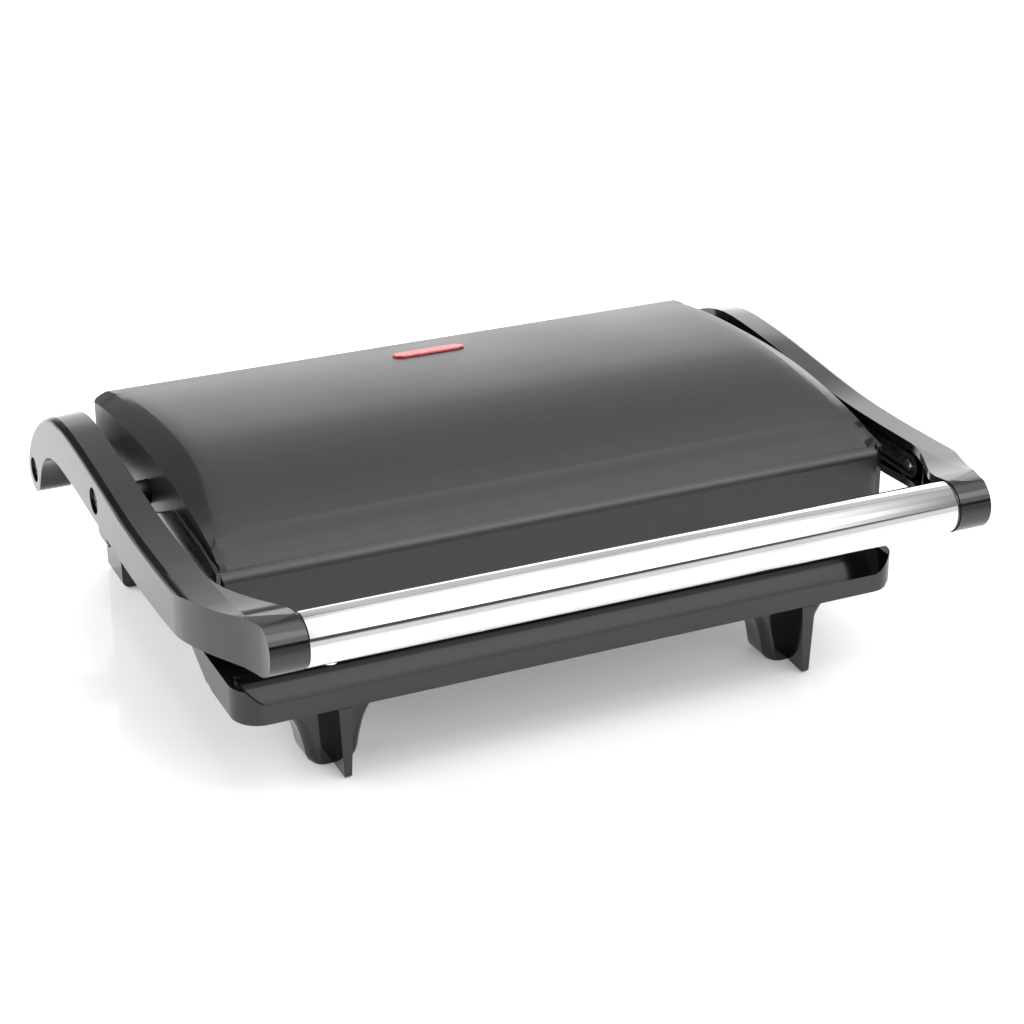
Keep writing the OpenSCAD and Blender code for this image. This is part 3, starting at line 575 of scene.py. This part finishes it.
LINER_HEAD, LINER_SHANK = 4.0, 6.0
low, high = (Vector(corner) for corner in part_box("liner_screws"))
seat = high.x - LINER_SHANK * MM
inset = LINER_HEAD / 2 * MM
liner_places = [(side * seat, y, (low.z + high.z) / 2) for side in (-1, 1) for y in (low.y + inset, high.y - inset)]
liner_aims = [(1, 0, 0)] * 2 + [(-1, 0, 0)] * 2
dress_screws("liner_screws", liner_places, liner_aims, LINER_HEAD, 1.0, 2.0, LINER_SHANK)

# %% [markdown]
# ## Handle tube
# The tube is drawn steel, cut square, its ends rolled over a little, then polished and plated. Its outline is
# spun about its axis with many facets, because a mirror shows every flat.

# %% Handle tube
TUBE_SIDES = 128
TUBE_WALL, TUBE_ROLL = 1.2, 0.35     # mm
ROLL_HEEL = 0.3                      # the rolled end's middle point, as a share of the roll


def turned(name, outline_mm, material):
    """A closed outline of (x, radius) points spun about a part's own axis along X."""
    low, high = (Vector(corner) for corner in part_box(name))
    y, z = (low.y + high.y) / 2, (low.z + high.z) / 2
    angles = [2 * math.pi * k / TUBE_SIDES for k in range(TUBE_SIDES)]
    work = bmesh.new()
    rings = []
    for x, r in outline_mm:
        rings.append([work.verts.new((x * MM, y + r * MM * math.cos(a), z + r * MM * math.sin(a)))
                      for a in angles])
    for one, two in zip(rings, rings[1:] + rings[:1]):
        for k in range(TUBE_SIDES):
            work.faces.new((one[k], two[k], two[k - 1], one[k - 1]))
    bmesh.ops.recalc_face_normals(work, faces=work.faces)
    mesh = bpy.data.meshes.new(name + "_turned")
    work.to_mesh(mesh)
    work.free()
    mesh.shade_smooth()
    mesh.set_sharp_from_angle(angle=CRISP)
    mesh.materials.append(material)
    stands_for(added(name + "_turned", mesh), name)


low, high = (Vector(corner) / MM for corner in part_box("handle_tube"))
outer, end = (high.z - low.z) / 2, high.x
heel = ROLL_HEEL * TUBE_ROLL
half_outline = [(end, outer - TUBE_WALL), (end, outer - TUBE_ROLL), (end - heel, outer - heel),
                (end - TUBE_ROLL, outer)]
turned("handle_tube", half_outline + [(-x, r) for x, r in reversed(half_outline)], finishes["chrome"])

# %% [markdown]
# ## Ribbed cooking plates
# Each plate is one aluminium casting: a shallow pan with straight ribs, whose crests are rounded so that the
# coating holds on them. The ribs repeat at one pitch, so a node tree sweeps a rounded profile along one line
# and sets it down again and again.

# %% Rib tree
CREST_ROUND = 0.7 * MM
CREST_STEPS = 5


def rib_tree():
    tree, given = group("plate_ribs", ["Pitch", "Count", "Start", "End", "Foot Width", "Crest Width", "Height",
                                       "Floor", "Middle", "Turn"])
    ends = [add(tree, "ShaderNodeCombineXYZ", links={"Y": given[side]}).outputs[0] for side in ("Start", "End")]
    line = add(tree, "GeometryNodeCurvePrimitiveLine", links={"Start": ends[0], "End": ends[1]})
    upright = add(tree, "GeometryNodeSetCurveNormal", {"mode": "Z_UP"}, links={"Curve": line.outputs[0]})
    section = add(tree, "GeometryNodeCurvePrimitiveQuadrilateral", {"mode": "TRAPEZOID"}, {"Offset": 0.0},
                  {"Height": given["Height"], "Bottom Width": given["Crest Width"],
                   "Top Width": given["Foot Width"]})
    sunk = add(tree, "ShaderNodeMath", {"operation": "MULTIPLY"}, {1: -0.5}, {0: given["Height"]})
    lowered = add(tree, "ShaderNodeCombineXYZ", links={"Y": sunk.outputs[0]})
    profile = add(tree, "GeometryNodeTransform",
                  links={"Geometry": section.outputs[0], "Translation": lowered.outputs[0]})
    rounded = add(tree, "GeometryNodeFilletCurve", {"mode": "POLY"},
                  {"Count": CREST_STEPS, "Radius": CREST_ROUND, "Limit Radius": True},
                  {"Curve": profile.outputs[0]})
    rib = add(tree, "GeometryNodeCurveToMesh", values={"Fill Caps": True},
              links={"Curve": upright.outputs[0], "Profile Curve": rounded.outputs[0]})
    gaps = add(tree, "ShaderNodeMath", {"operation": "SUBTRACT"}, {1: 1.0}, {0: given["Count"]})
    half = add(tree, "ShaderNodeMath", {"operation": "MULTIPLY"}, {1: -0.5}, {0: gaps.outputs[0]})
    side = add(tree, "ShaderNodeMath", {"operation": "MULTIPLY"},
               links={0: half.outputs[0], 1: given["Pitch"]})
    first = add(tree, "ShaderNodeCombineXYZ", links={"X": side.outputs[0]})
    step = add(tree, "ShaderNodeCombineXYZ", links={"X": given["Pitch"]})
    row = add(tree, "GeometryNodeMeshLine",
              links={"Count": given["Count"], "Start Location": first.outputs[0], "Offset": step.outputs[0]})
    copies = add(tree, "GeometryNodeInstanceOnPoints",
                 links={"Points": row.outputs[0], "Instance": rib.outputs[0]})
    at = add(tree, "ShaderNodeCombineXYZ", links={"Y": given["Middle"], "Z": given["Floor"]})
    spin = add(tree, "ShaderNodeCombineXYZ", links={"X": given["Turn"]})
    placed = add(tree, "GeometryNodeTransform",
                 links={"Geometry": copies.outputs[0], "Translation": at.outputs[0],
                        "Rotation": spin.outputs[0]})
    both = add(tree, "GeometryNodeJoinGeometry", links={"Geometry": given["Geometry"]})
    tree.links.new(placed.outputs[0], both.inputs["Geometry"])
    return end_tree(tree, both.outputs[0], given)


ribs = rib_tree()
print("rib tree with", len(ribs.nodes), "nodes")

# %% [markdown]
# ### Pan and ribs together
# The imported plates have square-edged ribs. A copy of the plate has them pressed flat into its floor, which
# keeps the pan closed, and the rounded ribs are set into that floor a little, so that no gap shows. The upper
# plate is the lower one turned over about the line where they meet.

# %% Plates
PLATE_MID = 16.0                     # all in mm
CONTACT, CONTACT_GAP = 48.6, 0.25    # where the ribs of both plates meet, and each one's distance from it
RIB_HEIGHT, RIB_COUNT, RIB_PITCH, RIB_SUNK = 2.6, 21, 10.0, 0.2
RIB_FRONT, RIB_REAR, RIB_FOOT, RIB_CREST = -59, 63, 4.4, 2.4
PAN_HALF_X, PAN_HALF_Y, FLOOR_SLACK = 103, 64, 0.05
PAN_EDGE = 0.5
PAN_FLOOR = {"lower_plate": CONTACT - CONTACT_GAP - RIB_HEIGHT, "upper_plate": CONTACT + CONTACT_GAP + RIB_HEIGHT}


def ribbed_plate(name, turn):
    """A copy of a plate without its square-edged ribs, and a row of rounded ones in their place."""
    side = 1 if turn == 0 else -1
    bed = PAN_FLOOR[name]

    def bare(work):
        """Press the ribs flat into the pan's floor."""
        for vert in work.verts:
            x, y, z = (c / MM for c in vert.co)
            if (z - bed) * side > FLOOR_SLACK and abs(x) < PAN_HALF_X and abs(y - PLATE_MID) < PAN_HALF_Y:
                vert.co.z = bed * MM
        bmesh.ops.dissolve_degenerate(work, dist=SAME_CORNER, edges=work.edges)
        bmesh.ops.dissolve_limit(work, angle_limit=SAME_FACE, verts=work.verts, edges=work.edges)

    pan = softened(name, PAN_EDGE, bare)
    sizes = {"Pitch": RIB_PITCH * MM, "Count": RIB_COUNT, "Start": RIB_FRONT * MM, "End": RIB_REAR * MM,
             "Foot Width": RIB_FOOT * MM, "Crest Width": RIB_CREST * MM, "Height": (RIB_HEIGHT + RIB_SUNK) * MM,
             "Floor": (bed - RIB_SUNK * side) * MM, "Middle": PLATE_MID * MM, "Turn": turn}
    mesh = pan.data
    bpy.data.objects.remove(pan)
    stands_for(grown(name + "_ribbed", ribs, sizes, finishes["nonstick"], base=mesh), name)


ribbed_plate("lower_plate", 0.0)
ribbed_plate("upper_plate", math.pi)

# %% [markdown]
# ## Heaters
# A tubular heater is one long steel sheath bent to and fro under its plate. It is a circle swept along a path,
# so the path is drawn as a line through the corners, and a tree rounds the corners and sweeps the sheath.

# %% Heaters
SHEATH_RADIUS, SHEATH_BEND = 3, 12.9     # mm
BEND_STEPS, SHEATH_SIDES = 12, 20
LEADS_X, OUTER_RUN, INNER_RUN = -88.0, 40, 14     # ends of the rod, and its runs each side of the plate's middle


def sheath_tree():
    tree, given = group("bent_sheath", ["Radius", "Bend"])
    path = add(tree, "GeometryNodeMeshToCurve", links={"Mesh": given["Geometry"]})
    bent = add(tree, "GeometryNodeFilletCurve", {"mode": "POLY"}, {"Count": BEND_STEPS, "Limit Radius": True},
               {"Curve": path.outputs[0], "Radius": given["Bend"]})
    ring = add(tree, "GeometryNodeCurvePrimitiveCircle", values={"Resolution": SHEATH_SIDES},
               links={"Radius": given["Radius"]})
    swept = add(tree, "GeometryNodeCurveToMesh", values={"Fill Caps": True},
                links={"Curve": bent.outputs[0], "Profile Curve": ring.outputs[0]})
    return end_tree(tree, swept.outputs[0], given)


sheath = sheath_tree()
for name in ("lower_heater", "upper_heater"):
    low, high = (Vector(corner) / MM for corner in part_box(name))
    height, left, right = (low.z + high.z) / 2, low.x + SHEATH_RADIUS, high.x - SHEATH_RADIUS
    corners = [(LEADS_X, -OUTER_RUN), (right, -OUTER_RUN), (right, -INNER_RUN), (left, -INNER_RUN),
               (left, INNER_RUN), (right, INNER_RUN), (right, OUTER_RUN), (LEADS_X, OUTER_RUN)]
    points = [(x * MM, (PLATE_MID + y) * MM, height * MM) for x, y in corners]
    lines = [(i, i + 1) for i in range(len(points) - 1)]
    sizes = {"Radius": SHEATH_RADIUS * MM, "Bend": SHEATH_BEND * MM}
    stands_for(grown(name + "_sheath", sheath, sizes, finishes["sheath"], points, lines), name)

# %% [markdown]
# ## Camera
# A long lens a little under a metre away, looking down by about 25 degrees from the front and left. From so far
# away the near corner is hardly larger than the far one, which is how a product is usually shown.

# %% Camera
LENS, SENSOR = 86.13, 36.0               # mm
TILT, SWING = 65.2, -24.7                # degrees from straight down, and to the right

camera_data = bpy.data.cameras.new("camera")
camera_data.lens = LENS
camera_data.sensor_width = SENSOR
camera = added("camera", camera_data)
camera.location = (-0.3381, -0.7460, 0.4298)
camera.rotation_euler = (math.radians(TILT), 0.0, math.radians(SWING))
bpy.context.scene.camera = camera
print("camera looks down by", round(90 - TILT, 1), "degrees")

# %% [markdown]
# ## Floor
# The grill stands on a sheet of white acrylic. It is polished, so it holds a faint mirror image of the feet.
# Where the camera or a mirror sees it, it glows a little, which makes it white without putting more light on
# the grill. In front it ends outside the camera's view, so the tube mirrors the room beyond its edge there.

# %% Floor
FLOOR_HALF, FLOOR_NEAR = 6.0, 0.62       # metres to the sides and the rear, and to the front
FLOOR_GLOW = 0.26
FLOOR_HAZE_MM, FLOOR_DETAIL = 80, 2.0
FLOOR_ROUGH = (0.03, 0.05)


def pale_floor():
    """White acrylic with a slight uneven haze."""
    material = bpy.data.materials.new("white_acrylic_table")
    material.use_nodes = True
    tree = material.node_tree
    tree.nodes.clear()
    place = add(tree, "ShaderNodeTexCoord").outputs["Object"]
    lumps = add(tree, "ShaderNodeTexNoise", links={"Vector": place},
                values={"Scale": 1 / (FLOOR_HAZE_MM * MM), "Detail": FLOOR_DETAIL})
    haze = add(tree, "ShaderNodeMapRange", links={"Value": lumps.outputs["Fac"]},
               values={"From Min": HAZE_SPREAD[0], "From Max": HAZE_SPREAD[1],
                       "To Min": FLOOR_ROUGH[0], "To Max": FLOOR_ROUGH[1]})
    body = add(tree, "ShaderNodeBsdfPrincipled", values={"Base Color": colour("#e8e8e8"), "IOR": 1.55},
               links={"Roughness": haze.outputs[0]})
    path = add(tree, "ShaderNodeLightPath")
    seen = add(tree, "ShaderNodeMath", {"operation": "MAXIMUM"},
               links={0: path.outputs["Is Camera Ray"], 1: path.outputs["Is Glossy Ray"]})
    glow = add(tree, "ShaderNodeMath", {"operation": "MULTIPLY"}, {1: FLOOR_GLOW}, {0: seen.outputs[0]})
    light = add(tree, "ShaderNodeEmission", values={"Color": colour("#ffffff")},
                links={"Strength": glow.outputs[0]})
    both = add(tree, "ShaderNodeAddShader", links={0: body.outputs[0], 1: light.outputs[0]})
    add(tree, "ShaderNodeOutputMaterial", links={"Surface": both.outputs[0]})
    return material


corners = [(-FLOOR_HALF, -FLOOR_NEAR, 0), (FLOOR_HALF, -FLOOR_NEAR, 0), (FLOOR_HALF, FLOOR_HALF, 0),
           (-FLOOR_HALF, FLOOR_HALF, 0)]
floor_mesh = bpy.data.meshes.new("table")
floor_mesh.from_pydata(corners, [], [(0, 1, 2, 3)])
floor_mesh.materials.append(pale_floor())
added("table", floor_mesh)
print("floor", 2 * FLOOR_HALF, "m wide, from", -FLOOR_NEAR, "to", FLOOR_HALF, "m")

# %% [markdown]
# ## Room
# Gloss black shows little of its own, so what the eye reads as its shape is the room mirrored in it. The room
# is dim, with panels of light in chosen directions. Each is a product of soft edges: across (x), back to front
# (y), upwards (z), or lift, the angle in the plane across the tube, from 0 at the horizon behind to a quarter
# turn overhead. The camera itself sees the room as white.

# %% Room
DIM_ROOM = 0.09
# for each panel its strength, and its edges: what is measured, where it is dark, and where it is full
PANELS = {
    "overhead": (0.95, [("lift", 62, 62.6), ("lift", 156.6, 155), ("x", -0.25, 0.1), ("x", 0.95, 0.55)]),
    "front_half": (1.8, [("lift", 71, 88), ("lift", 156.6, 155), ("x", -0.25, 0.1), ("x", 0.85, 0.3)]),
    "front_strip": (4.0, [("lift", 110, 116), ("lift", 140, 132), ("x", 0.1, 0.5),
                          ("x", -0.25, 0.1), ("x", 0.85, 0.3)]),
    "low_behind": (1.35, [("z", 0.43, 0.34), ("x", -0.30, 0.55), ("y", 0.0, 0.2)]),
    "high_behind": (0.6, [("lift", 60.6, 60), ("x", -0.12, 0.12), ("y", 0.0, 0.2)]),
    "behind": (0.0, [("y", 0.0, 0.2), ("x", -0.6, -0.3)]),     # gives no light: the horizon leaves it out
    "horizon": (0.8, [("z", 0.24, 0.12), ("behind", 1.0, 0.0)]),
}


def surroundings():
    """A dim room with the panels, which only the camera sees as white."""
    world = bpy.data.worlds.new("studio")
    bpy.context.scene.world = world
    world.use_nodes = True
    tree = world.node_tree
    tree.nodes.clear()
    way = add(tree, "ShaderNodeTexCoord").outputs["Generated"]
    measure = dict(zip("xyz", add(tree, "ShaderNodeSeparateXYZ", links={"Vector": way}).outputs))
    measure["lift"] = add(tree, "ShaderNodeMath", {"operation": "ARCTAN2"},
                          links={0: measure["z"], 1: measure["y"]}).outputs[0]
    level = add(tree, "ShaderNodeMath", {"operation": "ADD"}, {0: DIM_ROOM, 1: 0.0}).outputs[0]
    for name, (strength, edges) in PANELS.items():
        panel = None
        for label, dark, full in edges:
            unit = math.radians(1) if label == "lift" else 1
            edge = add(tree, "ShaderNodeMapRange", {"interpolation_type": "SMOOTHSTEP"},
                       {"From Min": dark * unit, "From Max": full * unit}, {"Value": measure[label]}).outputs[0]
            if panel:
                edge = add(tree, "ShaderNodeMath", {"operation": "MULTIPLY"}, links={0: panel, 1: edge}).outputs[0]
            panel = edge
        measure[name] = panel
        lit = add(tree, "ShaderNodeMath", {"operation": "MULTIPLY"}, {1: strength}, {0: panel}).outputs[0]
        level = add(tree, "ShaderNodeMath", {"operation": "ADD"}, links={0: level, 1: lit}).outputs[0]
    path = add(tree, "ShaderNodeLightPath")
    seen = add(tree, "ShaderNodeMix", {"data_type": "FLOAT"}, {"B": 1.0},
               {"Factor": path.outputs["Is Camera Ray"], "A": level})
    glow = add(tree, "ShaderNodeBackground", values={"Color": colour("#ffffff")},
               links={"Strength": seen.outputs[0]})
    add(tree, "ShaderNodeOutputWorld", links={"Surface": glow.outputs[0]})


surroundings()
print("a room with", len(PANELS) - 1, "panels")

# %% [markdown]
# ## Lamps
# Three large square lamps give the soft shadow. They are left out of mirrors, so they can be moved or dimmed
# without changing the reflections, which come from the room.

# %% Lamps
def softbox(name, at, aim, size, power):
    """A square lamp at a point, turned towards another."""
    data = bpy.data.lights.new(name, "AREA")
    data.shape = "SQUARE"
    data.size = size
    data.energy = power
    lamp = added(name, data)
    lamp.location = at
    lamp.rotation_euler = (Vector(aim) - Vector(at)).to_track_quat("-Z", "Y").to_euler()
    lamp.visible_glossy = False


softbox("wide_above", at=(0.0, 0.5, 1.5), aim=(0.0, 0.1, 0.0), size=2.0, power=13.0)
softbox("behind_left", at=(-1.3, 0.9, 1.0), aim=(0.0, 0.0, 0.0), size=1.0, power=30.0)
softbox("behind_right", at=(1.3, 0.9, 1.0), aim=(0.0, 0.0, 0.0), size=1.0, power=10.0)
print("three lamps")

# %% [markdown]
# ## View transform
# The looks never change the size. The scene is shown through the Standard view transform.

# %% Finish
bpy.context.scene.view_settings.view_transform = "Standard"
